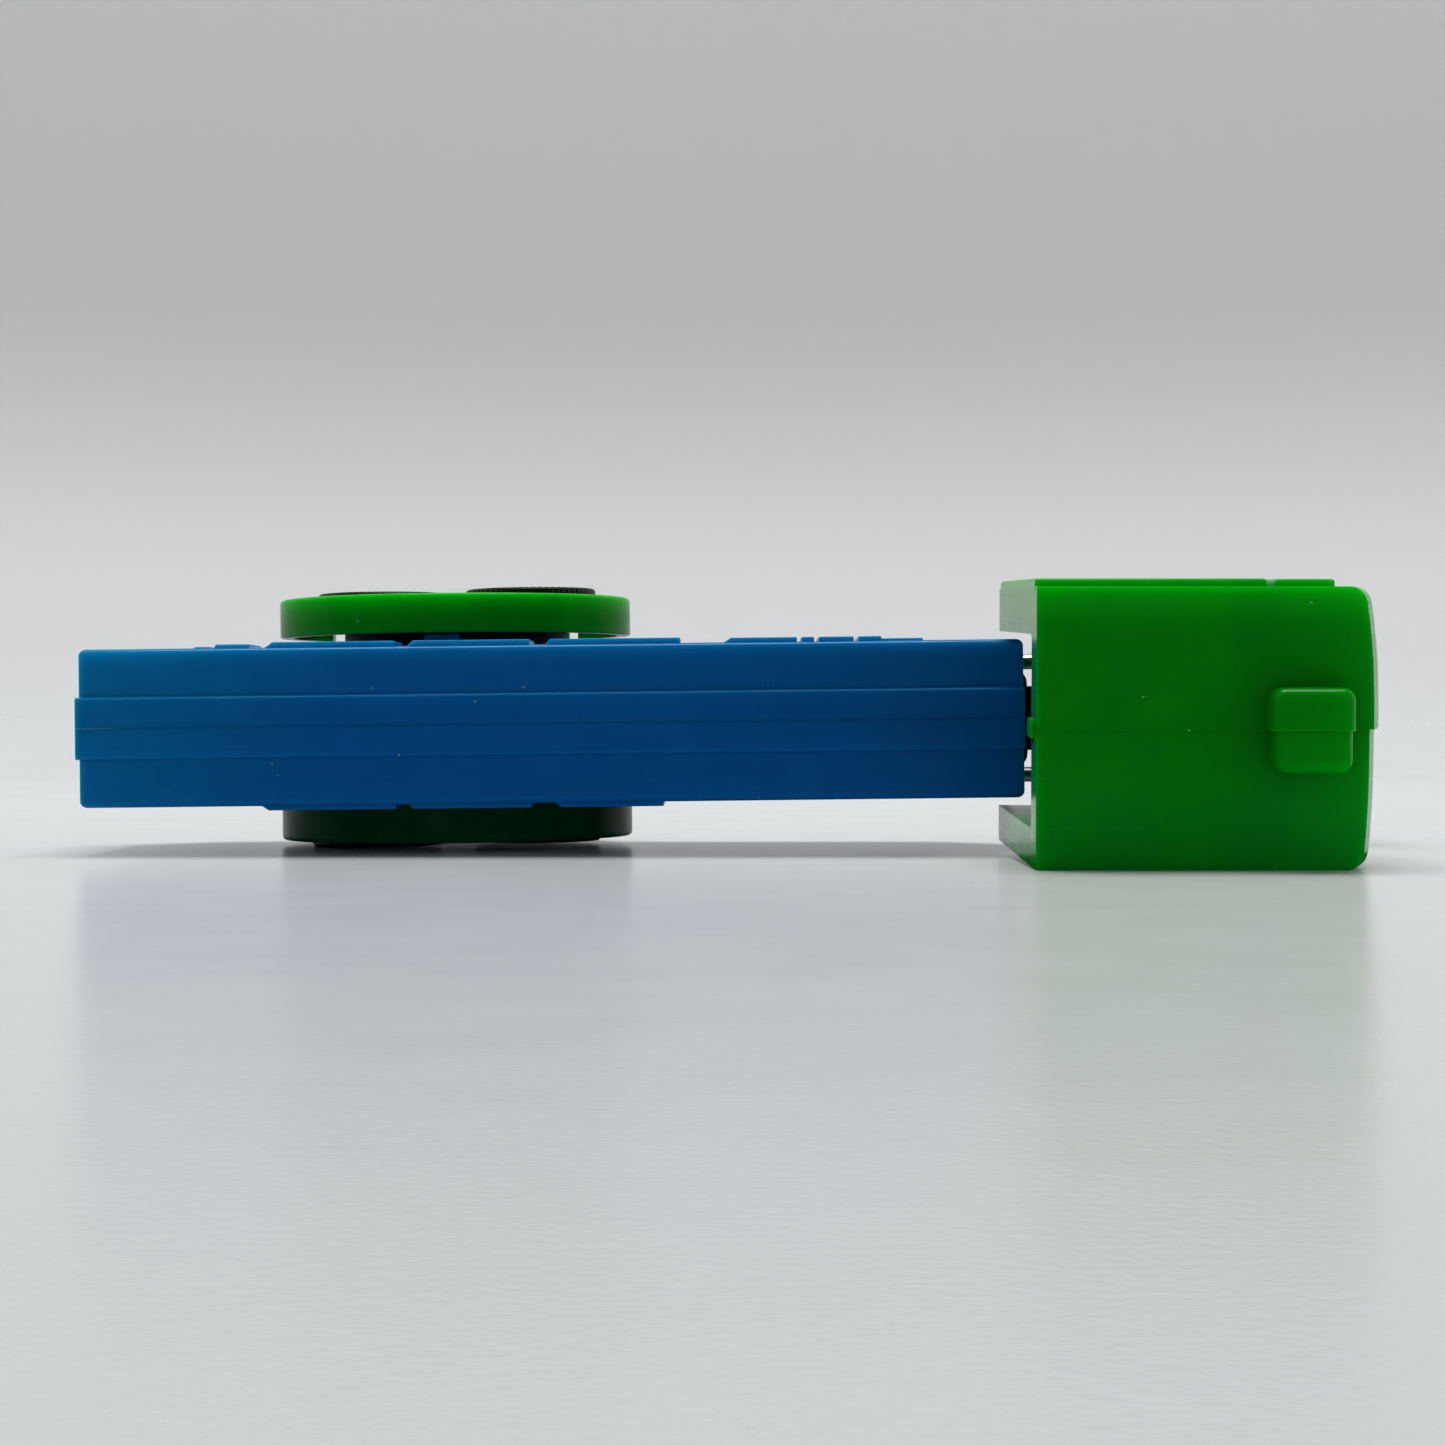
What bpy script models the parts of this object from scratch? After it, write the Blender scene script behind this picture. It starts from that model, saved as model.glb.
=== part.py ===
"""Toy bulldozer: a wheeled toy dozer lying on its left flank, roof towards -Y.

Vehicle forward is +X, vehicle up is -Y and the sideways direction is Z. The hull frame leans a
little about Y, and the cab frame is rolled a little about X, as the loose toy rests on its side.
All lengths below are in millimetres and are scaled to metres when each mesh is made.
"""

import math

import bmesh
import bpy
from mathutils import Matrix, Vector

for old in list(bpy.data.objects):
    bpy.data.objects.remove(old, do_unlink=True)

# Driving dimensions, millimetres and degrees.
MM = 0.001
ORIGIN = Vector((1.605, 38.946, 0.005))  # the model's base centre, in layout coordinates
LEAN = 0.66  # hull lean about Y
MID_Z = 14.91  # height of the hull's middle plane at X = 0
ROLL = 2.3  # cab roll about X
CLEAR = 0.3  # gap between neighbouring pieces
PART = 0.05  # half of the gap at a moulding's parting line

HULL_X0, HULL_X1 = -71.1, 33.3
HULL_Y0, HULL_Y1 = 30.45, 70.8
HULL_HALF = 8.78
HULL_WALL = 1.8
BAND_HALF, BAND_Y, BAND_X0 = 3.45, 30.0, -71.5

REAR = Vector((-32.2, 62.1))
REAR_R, REAR_IN, REAR_OUT, REAR_FLOAT = 21.1, 9.82, 14.35, 0.76
FRONT = Vector((52.5, 70.2))
FRONT_R, FRONT_IN, FRONT_OUT, FRONT_FLOAT = 12.8, 9.9, 14.4, -0.2
AXLE_R = 1.5

CAB_X0, CAB_X1, CAB_Y1, CAB_Z1, CAB_SEAM = 31.3, 65.0, 38.8, 28.4, 14.1
CAB_LOW, CAB_HIGH, CAB_ROOF, CAB_FRONT = 3.9, 23.6, 4.5, 62.0
CAB_BULGE = ((0.0, 0.0), (1.2, 3.0), (2.3, 7.0), (3.1, 11.0), (3.5, 17.0), (3.4, 25.0), (2.9, 32.0), (2.2, CAB_Y1))
HINGE = Vector((60.0, 41.7))
BLADE_PIVOT = Vector((46.0, 62.0))

WORLD = Matrix.Translation(-ORIGIN * MM)
HULL = WORLD @ Matrix.Translation((0, 0, MID_Z * MM)) @ Matrix.Rotation(math.radians(-LEAN), 4, "Y")
CAB = WORLD @ Matrix.Rotation(math.radians(ROLL), 4, "X")

cutters = bpy.data.collections.new("cutters")
bpy.context.scene.collection.children.link(cutters)
cutters.hide_render = True


def plastic(name, colour, roughness=0.3, metallic=0.0):
    material = bpy.data.materials.new(name)
    material.use_nodes = True
    shader = material.node_tree.nodes["Principled BSDF"]
    shader.inputs["Base Color"].default_value = (*colour, 1)
    shader.inputs["Roughness"].default_value = roughness
    shader.inputs["Metallic"].default_value = metallic
    material.diffuse_color = (*colour, 1)
    return material


BLUE = (0.0, 0.05, 0.16)
GREEN = (0.0, 0.14, 0.01)
DARK_GREEN = (0.0, 0.12, 0.02)
BLACK = (0.006, 0.006, 0.007)
STEEL = (0.42, 0.41, 0.39)


# Mesh builders: each returns a bmesh in millimetres.
def prism(outline, z0, z1, bevel=0.0, segments=2, pick=None):
    """A closed outline in X and Y, extruded along Z, with the picked edges rounded."""
    bm = bmesh.new()
    base = bm.faces.new([bm.verts.new((x, y, z0)) for x, y in outline])
    top = bmesh.ops.extrude_face_region(bm, geom=[base])["geom"]
    bmesh.ops.translate(bm, verts=[v for v in top if isinstance(v, bmesh.types.BMVert)], vec=(0, 0, z1 - z0))
    bmesh.ops.recalc_face_normals(bm, faces=bm.faces)
    if bevel:
        edges = [e for e in bm.edges if pick is None or pick(e.verts[0].co, e.verts[1].co)]
        bmesh.ops.bevel(bm, geom=edges, offset=bevel, segments=segments, profile=0.5, material=-1,
                        affect="EDGES", clamp_overlap=True)
    return bm


def loft(rings):
    """A solid through outlines with equal numbers of points, each a list of (x, y, z)."""
    bm = bmesh.new()
    rings = [[bm.verts.new(p) for p in ring] for ring in rings]
    bm.faces.new(rings[0])
    bm.faces.new(rings[-1])
    for a, b in zip(rings, rings[1:]):
        for i in range(len(a)):
            j = (i + 1) % len(a)
            bm.faces.new((a[i], a[j], b[j], b[i]))
    bmesh.ops.recalc_face_normals(bm, faces=bm.faces)
    return bm


def block(x0, x1, y0, y1, z0, z1, bevel=0.0, segments=2, pick=None):
    return prism([(x0, y0), (x1, y0), (x1, y1), (x0, y1)], z0, z1, bevel, segments, pick)


def lathe(profile, steps=48):
    """A closed (radius, z) outline spun round the Z axis."""
    bm = bmesh.new()
    ring = [bm.verts.new((r, 0, z)) for r, z in profile]
    edges = [bm.edges.new((ring[i], ring[(i + 1) % len(ring)])) for i in range(len(ring))]
    bmesh.ops.spin(bm, geom=ring + edges, cent=(0, 0, 0), axis=(0, 0, 1), angle=math.tau, steps=steps,
                   use_merge=True)
    bmesh.ops.remove_doubles(bm, verts=bm.verts, dist=1e-4)
    bmesh.ops.recalc_face_normals(bm, faces=bm.faces)
    return bm


def rod(radius, z0, z1, steps=24, bevel=0.0, x=0.0, y=0.0):
    """A solid cylinder along Z with optionally rounded ends."""
    bm = bmesh.new()
    bmesh.ops.create_cone(bm, cap_ends=True, segments=steps, radius1=radius, radius2=radius,
                          depth=z1 - z0, matrix=Matrix.Translation((x, y, (z0 + z1) / 2)))
    if bevel:
        rims = [e for e in bm.edges if abs(e.verts[0].co.z - e.verts[1].co.z) < 1e-6]
        bmesh.ops.bevel(bm, geom=rims, offset=bevel, segments=2, profile=0.5, material=-1,
                        affect="EDGES", clamp_overlap=True)
    return bm


def turned(bm, matrix):
    bmesh.ops.transform(bm, matrix=matrix, verts=bm.verts)
    return bm


ALONG_X = Matrix.Rotation(math.radians(90), 4, "Y")


def place(name, bm, frame, material, origin=(0, 0, 0), cutter=False):
    """Makes an object from a bmesh whose coordinates are in `frame`, with its origin at `origin`."""
    origin = Vector(origin)
    bmesh.ops.translate(bm, verts=bm.verts, vec=-origin)
    bmesh.ops.scale(bm, verts=bm.verts, vec=(MM, MM, MM))
    mesh = bpy.data.meshes.new(name)
    bm.to_mesh(mesh)
    bm.free()
    obj = bpy.data.objects.new(name, mesh)
    obj.matrix_world = frame @ Matrix.Translation(origin * MM)
    if material:
        mesh.materials.append(material)
    if cutter:
        cutters.objects.link(obj)
        obj.hide_render = True
        obj.display_type = "WIRE"
    else:
        bpy.context.scene.collection.objects.link(obj)
    return obj


def combine(obj, operation, pieces, frame):
    """Joins bmeshes to an object, or cuts them from it, one after another."""
    for index, bm in enumerate(pieces):
        tool = place(f"{obj.name}_{operation.lower()}_{index}", bm, frame, None, cutter=True)
        modifier = obj.modifiers.new(f"{operation.lower()}_{index}", "BOOLEAN")
        modifier.operation = operation
        modifier.solver = "EXACT"
        modifier.object = tool
    return obj


def side_edges(z_limit, y_max=None):
    """Picks the edges that lie on the plane |Z| = z_limit."""
    return lambda a, b: abs(abs(a.z) - z_limit) < 1e-4 and abs(abs(b.z) - z_limit) < 1e-4


blue = plastic("blue_plastic", BLUE, 0.25)
green = plastic("green_plastic", GREEN, 0.25)
steel = plastic("bright_steel", STEEL, 0.3, 1.0)
black = plastic("black_plastic", BLACK, 0.35)

# Hull: two moulded half shells with a hollow between them and a raised band over the joint.
hull_outline = [(HULL_X0, HULL_Y0), (HULL_X1, HULL_Y0), (HULL_X1, 64.0), (27.0, HULL_Y1), (-60.0, HULL_Y1),
                (HULL_X0, 61.0)]
hollow_outline = [(HULL_X0 + HULL_WALL, HULL_Y0 + HULL_WALL), (HULL_X1 - HULL_WALL, HULL_Y0 + HULL_WALL),
                  (HULL_X1 - HULL_WALL, 63.0), (26.2, HULL_Y1 - HULL_WALL), (-59.2, HULL_Y1 - HULL_WALL),
                  (HULL_X0 + HULL_WALL, 60.2)]
# Raised panels on each flank: start, end, height, length of the ramp at the start.
LEFT_PANELS = [(-59.4, -56.6, 0.15, 1.0), (-56.6, -52.3, 0.4, 0.5), (-51.5, -36.3, 0.6, 1.6),
               (-35.5, -21.3, 0.6, 1.2), (-20.1, -4.6, 0.6, 1.0), (-0.7, 8.35, 0.5, 1.6), (8.85, 10.25, 0.5, 0.0),
               (10.75, 14.65, 0.5, 0.0), (15.15, 17.7, 0.5, 0.0), (17.7, 22.3, 0.25, 0.0)]
RIGHT_PANELS = [(-52.0, -36.3, 0.5, 1.6), (-35.3, -21.3, 0.5, 1.0), (-19.5, -6.6, 0.5, 1.6)]
PANEL_Y0, PANEL_Y1 = 31.2, 39.5


def hull_half(name, side, panels):
    def z(value):
        return side * value

    def span(a, b):
        return (z(a), z(b)) if side > 0 else (z(b), z(a))

    shell = place(name, prism(hull_outline, *span(PART, HULL_HALF), 0.6, 3, side_edges(HULL_HALF)), HULL,
                  plastic(name, BLUE, 0.25))
    band = block(BAND_X0, HULL_X1 + 0.1, BAND_Y, 34.0, *span(PART, BAND_HALF), 0.25, 2,
                 lambda a, b: min(a.y, b.y) < BAND_Y + 1e-4 and abs(a.z) > 1 and abs(b.z) > 1)
    tail = block(BAND_X0, -66.0, 34.0 - 1.0, 58.0, *span(PART, BAND_HALF))
    joins = [band, tail]
    for x0, x1, height, ramp in panels:
        face = HULL_HALF + height
        bm = block(x0, x1, PANEL_Y0, PANEL_Y1, *span(HULL_HALF - 0.6, face))
        if ramp:
            for v in bm.verts:
                if abs(abs(v.co.z) - face) < 1e-4 and abs(v.co.x - x0) < 1e-4:
                    v.co.x += ramp
        joins.append(bm)
    boss_end = REAR_IN + side * REAR_FLOAT - 0.2
    joins.append(rod(2.4, *span(HULL_HALF - 0.6, boss_end), 24, 0, REAR.x, REAR.y))
    if side > 0:
        joins.append(block(REAR.x - 2.0, REAR.x + 2.0, 44.0, 48.2, HULL_HALF - 0.6, 10.4))
    combine(shell, "UNION", joins, HULL)
    combine(shell, "DIFFERENCE", [prism(hollow_outline, *span(-1.0, HULL_HALF - HULL_WALL))], HULL)
    bosses = [rod(4.2, *span(PART, HULL_HALF - 0.6), 24, 0, REAR.x, REAR.y)]
    bosses += [rod(3.0, *span(PART, HULL_HALF - 0.6), 20, 0, x, y) for x, y in ((-62, 40), (-4, 58), (24, 56))]
    combine(shell, "UNION", bosses, HULL)
    cuts = [rod(AXLE_R + 0.15, *span(-2, 20), 24, 0, REAR.x, REAR.y),
            block(30.0, 36.0, 31.4, 43.6, *span(-2, 5.7)),
            block(30.0, 36.0, 45.6, 64.4, *span(-2, 4.1)),
            turned(rod(1.0, 20, 36), Matrix.Translation((0, 45, z(6.5))) @ ALONG_X)]
    combine(shell, "DIFFERENCE", cuts, HULL)
    return shell


hull_left = hull_half("hull_left", 1, LEFT_PANELS)
hull_right = hull_half("hull_right", -1, RIGHT_PANELS)
SCREWS = ((-62, 40), (-4, 58), (24, 56))
combine(hull_right, "DIFFERENCE", [rod(2.2, -9.5, -7.0, 20, 0, x, y) for x, y in SCREWS[:2]], HULL)
combine(hull_right, "DIFFERENCE", [rod(1.35, -9.5, 2, 16, 0, x, y) for x, y in SCREWS[:2]], HULL)
combine(hull_left, "DIFFERENCE", [rod(1.35, -2, 6.4, 16, 0, x, y) for x, y in SCREWS[:2]], HULL)


def screw(name, x, y, head_z, tip_z, frame, head_r=1.9):
    bm = lathe([(0, tip_z), (1.1, tip_z), (1.1, head_z + 1.2), (head_r, head_z + 1.2), (head_r, head_z + 0.3),
                (head_r - 0.3, head_z), (0, head_z)], 24)
    turned(bm, Matrix.Translation((x, y, 0)))
    obj = place(name, bm, frame, plastic(name, STEEL, 0.35, 1.0))
    slot = [block(x - 1.3, x + 1.3, y - 0.2, y + 0.2, head_z - 1, head_z + 0.5),
            block(x - 0.2, x + 0.2, y - 1.3, y + 1.3, head_z - 1, head_z + 0.5)]
    return combine(obj, "DIFFERENCE", slot, frame)


screw("hull_screw_rear", *SCREWS[0], -8.5, 5.6, HULL)
screw("hull_screw_front", *SCREWS[1], -8.5, 5.6, HULL)

# Chassis: the black spine between the hull and the front axle, under the cab.
spine = place("chassis_spine", prism([(14.0, 46.0), (62.0, 46.0), (62.0, 64.0), (14.0, 64.0)], -3.7, 3.7),
              HULL, plastic("chassis_spine", BLACK, 0.4))
nose = prism([(39.5, 43.0), (62.0, 43.0), (62.6, 46.0), (62.6, 60.0), (58.0, 74.0), (47.0, 74.0), (39.5, 66.0)],
             -5.4, 5.4, 0.5, 2, lambda a, b: abs(abs(a.z) - 5.4) < 1e-4 and abs(abs(b.z) - 5.4) < 1e-4)
combine(spine, "UNION", [
    nose,
    block(46.0, 56.3, 42.6, 47.6, -8.4, 8.4),
    turned(rod(2.3, -5.4, 5.4, 24), Matrix.Translation((HINGE.x, HINGE.y, 0))),
    rod(2.6, -FRONT_IN + 0.4, FRONT_IN - 0.4, 24, 0, FRONT.x, FRONT.y),
], HULL)
combine(spine, "DIFFERENCE", [
    rod(3.3, -5, 5, 20, 0, 24, 56),
    rod(AXLE_R + 0.15, -12, 12, 24, 0, FRONT.x, FRONT.y),
    rod(1.1, -8, 8, 20, 0, BLADE_PIVOT.x, BLADE_PIVOT.y),
    rod(0.95, -8, 8, 20, 0, HINGE.x, HINGE.y),
    turned(rod(1.0, 44, 55.3, 20), Matrix.Translation((0, 45, 6.5)) @ ALONG_X),
    turned(rod(1.0, 44, 55.3, 20), Matrix.Translation((0, 45, -6.5)) @ ALONG_X),
], HULL)

bumper = place("bulkhead_buffer", block(30.6, 34.0, 32.0, 43.2, -5.3, 5.3, 1.5, 4,
                                        lambda a, b: min(a.x, b.x) > 33.9), HULL,
               plastic("bulkhead_buffer", BLACK, 0.4))
for name, z in (("tie_rod_upper", 6.5), ("tie_rod_lower", -6.5)):
    place(name, turned(rod(0.85, 26.0, 55.0, 20, 0.2), Matrix.Translation((0, 45, z)) @ ALONG_X), HULL,
          plastic(name, STEEL, 0.25, 1.0))

# Seat and steering column stand on the chassis, inside the cab.
seat = place("seat", prism([(41.0, 42.4), (41.0, 26.0), (43.0, 25.0), (45.4, 34.8), (53.0, 34.8),
                            (53.6, 37.5), (48.0, 38.4), (48.0, 42.4)], -5.0, 5.0, 0.4, 2,
                           lambda a, b: abs(abs(a.z) - 5.0) < 1e-4 and abs(abs(b.z) - 5.0) < 1e-4),
             HULL, plastic("seat", BLACK, 0.5))
column = place("steering_column", rod(0.9, 0.0, 11.0, 20), HULL, plastic("steering_column", BLACK, 0.4))
column.matrix_world = (HULL @ Matrix.Translation(Vector((58.0, 38.9, 0)) * MM)
                       @ Matrix.Rotation(math.radians(-24), 4, "Z") @ Matrix.Rotation(math.radians(90), 4, "X"))
steering = place("steering_wheel", lathe([(3.5, 11.6), (4.7, 11.6), (4.7, 12.8), (3.5, 12.8)], 32), HULL,
                 plastic("steering_wheel", BLACK, 0.4))
steering.matrix_world = column.matrix_world
for index, bm in enumerate((rod(1.3, 11.3, 12.6, 20), block(-4, 4, -0.5, 0.5, 11.8, 12.5),
                            block(-0.5, 0.5, 0, 4, 11.8, 12.5))):
    tool = place(f"steering_wheel_union_{index}", bm, HULL, None, cutter=True)
    tool.matrix_world = column.matrix_world
    modifier = steering.modifiers.new(f"union_{index}", "BOOLEAN")
    modifier.operation, modifier.solver, modifier.object = "UNION", "EXACT", tool


# Wheels: green cups that spin on steel axles, with two black caps pressed into each face.
def wheel(prefix, centre, radius, z_in, z_out, shift, side, cap_r, cap_at, cap_turn, cap_out, drum):
    def z(value):
        return side * value + shift

    wall, web = 1.6, 1.7
    origin = (centre.x, centre.y, shift)
    to_centre = Matrix.Translation((centre.x, centre.y, 0))
    e = 0.5
    profile = [(AXLE_R + 0.15, z(z_in + 0.5)), (4.2, z(z_in + 0.5)), (4.2, z(z_out - web - 0.6)),
               (radius - wall, z(z_out - web - 0.6)), (radius - wall, z(z_in)), (radius - 0.15, z(z_in)),
               (radius, z(z_in + 0.15)), (radius, z(z_out - e)), (radius - 0.15, z(z_out - 0.15)),
               (radius - e, z(z_out)), (radius - 1.5, z(z_out)), (radius - 1.9, z(z_out - 0.6)),
               (AXLE_R + 0.15, z(z_out - 0.6))]
    cup = place(f"{prefix}_cup", turned(lathe(profile, 64), to_centre), HULL,
                plastic(f"{prefix}_cup", DARK_GREEN, 0.3), origin)
    pits, caps = [], []
    for index, name in enumerate(("a", "b")):
        angle = math.radians(cap_turn + 180 * index)
        x, y = centre.x + cap_at * math.cos(angle), centre.y + cap_at * math.sin(angle)
        lo, hi = sorted((z(z_out - 1.7), z(z_out + 2)))
        pits.append(rod(cap_r + 0.1, lo, hi, 40, 0, x, y))
        top = z_out + cap_out
        cap_profile = [(0, z(z_out - 1.6)), (cap_r, z(z_out - 1.6)), (cap_r, z(top - 0.4)),
                       (cap_r - 0.12, z(top - 0.12)), (cap_r - 0.4, z(top)), (cap_r - 1.6, z(top)),
                       (cap_r - 2.2, z(top - 0.35)), (0, z(top - 0.35))]
        caps.append(place(f"{prefix}_cap_{name}", turned(lathe(cap_profile, 40), Matrix.Translation((x, y, 0))),
                          HULL, plastic(f"{prefix}_cap_{name}", BLACK, 0.35), origin))
    combine(cup, "DIFFERENCE", pits, HULL)
    if drum:
        drum_profile = [(9.4, z(drum[0])), (drum[2], z(drum[0])), (drum[2], z(drum[1])), (9.4, z(drum[1]))]
        place(f"{prefix}_drum", turned(lathe(drum_profile, 48), to_centre), HULL,
              plastic(f"{prefix}_drum", BLACK, 0.5), origin)
    return cup


rear_left = wheel("rear_left", REAR, REAR_R, REAR_IN, REAR_OUT, REAR_FLOAT, 1, 7.8, 10.0, -21.0, 1.0,
                  (8.5, 11.9, 13.4))
rear_right = wheel("rear_right", REAR, REAR_R, REAR_IN, REAR_OUT, REAR_FLOAT, -1, 7.8, 10.0, 21.0, 0.75,
                   (10.0, 11.9, 13.4))
NOTCHES = ((-16.35, -15.05), (12.95, 14.1))  # two small slots through the skirt's lower side
combine(rear_left, "DIFFERENCE", [block(REAR.x + x0, REAR.x + x1, REAR.y + 10, REAR.y + 21, 10.0, 12.2)
                                  for x0, x1 in NOTCHES], HULL)
front_left = wheel("front_left", FRONT, FRONT_R, FRONT_IN, FRONT_OUT, FRONT_FLOAT, 1, 4.0, 6.3, -21.0, 0.8, None)
front_right = wheel("front_right", FRONT, FRONT_R, FRONT_IN, FRONT_OUT, FRONT_FLOAT, -1, 4.0, 6.3, 21.0, 0.8,
                    None)


def axle(name, centre, z_out, shift):
    reach = z_out + 0.35
    place(name, rod(AXLE_R, shift - reach, shift + reach, 24, 0.3, centre.x, centre.y), HULL,
          plastic(name, STEEL, 0.3, 1.0))


axle("rear_axle", REAR, REAR_OUT, REAR_FLOAT)
axle("front_axle", FRONT, FRONT_OUT, FRONT_FLOAT)


# Cab: two green half shells, open at the rear and underneath.
def cab_half(name, z0, z1, wall_z, x_mid, x_end, lug_grow):
    """One half of the cab; wall_z is the inner face of its side wall, x_mid its width at the seam."""
    low = z0 < 1
    outer, seam = (z0, z1 - PART) if low else (z1, z0 + PART)
    levels = [seam + (outer - seam) * t for t in (0.0, 0.45, 0.75, 1.0)]
    draws = [(x_mid - x_end) * t for t in (0.0, 0.12, 0.48, 1.0)]
    rings = []
    for level, draw in zip(levels, draws):
        front = [(x_mid + bulge - draw, y, level) for bulge, y in CAB_BULGE]
        rings.append([(CAB_X0, CAB_Y1, level), (CAB_X0, 0, level)] + front)
    bm = loft(rings)

    def on_outer(p):
        return abs(p.z - outer) < 1e-4

    ends = [e for e in bm.edges if all(on_outer(v.co) and v.co.x > 50 for v in e.verts)]
    bmesh.ops.bevel(bm, geom=ends, offset=1.5, segments=3, profile=0.5, material=-1, affect="EDGES")
    rest = [e for e in bm.edges if all(on_outer(v.co) for v in e.verts) and len(e.link_faces) == 2
            and e.calc_face_angle(0) > 0.9]
    near = [e for e in bm.edges if all(abs(v.co.y) < 1e-4 and v.co.x > 60 for v in e.verts)
            and abs(e.verts[0].co.z - e.verts[1].co.z) > 1]
    bmesh.ops.bevel(bm, geom=list(set(rest + near)), offset=0.3, segments=2, profile=0.5, material=-1,
                    affect="EDGES", clamp_overlap=True)
    shell = place(name, bm, CAB, plastic(name, GREEN, 0.25), (HINGE.x, HINGE.y, 14.0))
    x0, x1, y1 = 54.5 - lug_grow, 62.2 + lug_grow, -4.5 - lug_grow * 0.5
    lug_z = (9.9, CAB_SEAM - PART) if low else (CAB_SEAM + PART, 18.4)
    lug_bm = block(x0, x1, y1, 1.0, *lug_z)
    outer_z = lug_z[0] if low else lug_z[1]
    rounded = [e for e in lug_bm.edges if
               all(abs(v.co.z - outer_z) < 1e-4 for v in e.verts) or
               (all(abs(v.co.y - y1) < 1e-4 for v in e.verts) and
                abs(e.verts[0].co.x - e.verts[1].co.x) < 1e-4)]
    bmesh.ops.bevel(lug_bm, geom=rounded, offset=1.3, segments=4, profile=0.5, material=-1, affect="EDGES",
                    clamp_overlap=True)
    nub = block(30.7, 33.0, 0.4, 3.5, 13.2 if low else CAB_SEAM + PART, CAB_SEAM - PART if low else 15.2)
    joins = [lug_bm, nub]
    if low:
        joins.append(block(CAB_X0 + 0.6, 54.5, 22.0, 37.0, -0.0 + 0.02, 1.0))
    else:
        panel = block(CAB_X0, 54.5, 1.5, 37.0, z1 - 0.6, z1 + 0.8, 0.35, 2,
                      lambda p, q: min(p.z, q.z) > z1 + 0.7)
        hump = block(55.3, 61.3, 1.8, 14.0, z1 - 0.6, z1 + 0.75, 0.35, 2,
                     lambda p, q: min(p.z, q.z) > z1 + 0.7)
        joins += [panel, hump]
    combine(shell, "UNION", joins, CAB)
    lo, hi = (wall_z, CAB_SEAM + 1) if low else (CAB_SEAM - 1, wall_z)
    cavity = prism([(20, CAB_ROOF), (CAB_FRONT, CAB_ROOF), (CAB_FRONT, 45), (20, 45)], lo, hi, 0.8, 2,
                   lambda p, q: abs(p.z - wall_z) < 1e-4 and abs(q.z - wall_z) < 1e-4)
    combine(shell, "DIFFERENCE", [cavity], CAB)
    ear_z = (wall_z - 0.5, 8.2) if low else (19.9, wall_z + 0.5)
    ear = prism([(57.4, 35.0), (62.6, 35.0), (62.6, 41.7), (62.2, 43.1), (61.2, 44.0), (60.0, 44.3),
                 (58.8, 44.0), (57.8, 43.1), (57.4, 41.7)], *ear_z)
    combine(shell, "UNION", [ear], CAB)
    bore = rod(0.98, -20, 20, 24, 0, HINGE.x, HINGE.y)
    combine(shell, "DIFFERENCE", [bore], HULL)
    return shell


cab_right = cab_half("cab_right", 0.0, CAB_SEAM, CAB_LOW, 64.4, 63.9, 0.0)
cab_left = cab_half("cab_left", CAB_SEAM, CAB_Z1, CAB_HIGH, 64.8, 63.9, 0.25)
place("cab_hinge_pin", rod(0.8, -9.8, 9.4, 20, 0.2, HINGE.x, HINGE.y), HULL,
      plastic("cab_hinge_pin", STEEL, 0.3, 1.0))

# Dozer blade: a curved plate with two push arms moulded on, and a steel cutting edge.
front_face, back_face = [], []
for i in range(11):
    t = i / 10
    y = 56.0 + 24.6 * t
    bow = 2.6 * math.sin(math.pi * t)
    front_face.append((72.0 - bow + 1.6 * t * t, y))
    back_face.append((69.6 - bow * 0.8 + 1.4 * t * t, y))
blade = place("blade", prism(front_face + back_face[::-1], -13.4, 13.4), HULL,
              plastic("blade", GREEN, 0.3), (*BLADE_PIVOT, 0))
arms = []
for z0, z1 in ((5.8, 8.4), (-8.4, -5.8)):
    arms.append(prism([(43.6, 60.6), (44.6, 59.8), (60.0, 59.8), (70.2, 61.0), (70.2, 72.0), (67.4, 72.0),
                       (66.6, 65.6), (60.0, 64.2), (44.6, 64.2), (43.6, 63.4)], z0, z1))
cheeks = [block(67.6, 74.2, 56.4, 80.0, z0, z1) for z0, z1 in ((12.2, 13.5), (-13.5, -12.2))]
combine(blade, "UNION", arms + cheeks, HULL)
combine(blade, "DIFFERENCE", [rod(1.1, -12, 12, 20, 0, *BLADE_PIVOT)], HULL)
place("cutting_edge", block(71.2, 74.6, 80.9, 82.6, -13.3, 13.3, 0.3, 2), HULL,
      plastic("cutting_edge", STEEL, 0.4, 1.0), (*BLADE_PIVOT, 0))
place("blade_pin", rod(0.95, -8.9, 8.9, 20, 0.2, *BLADE_PIVOT), HULL, plastic("blade_pin", STEEL, 0.3, 1.0))
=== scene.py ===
import math

import bmesh
import bpy
from mathutils import Matrix, Vector


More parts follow.
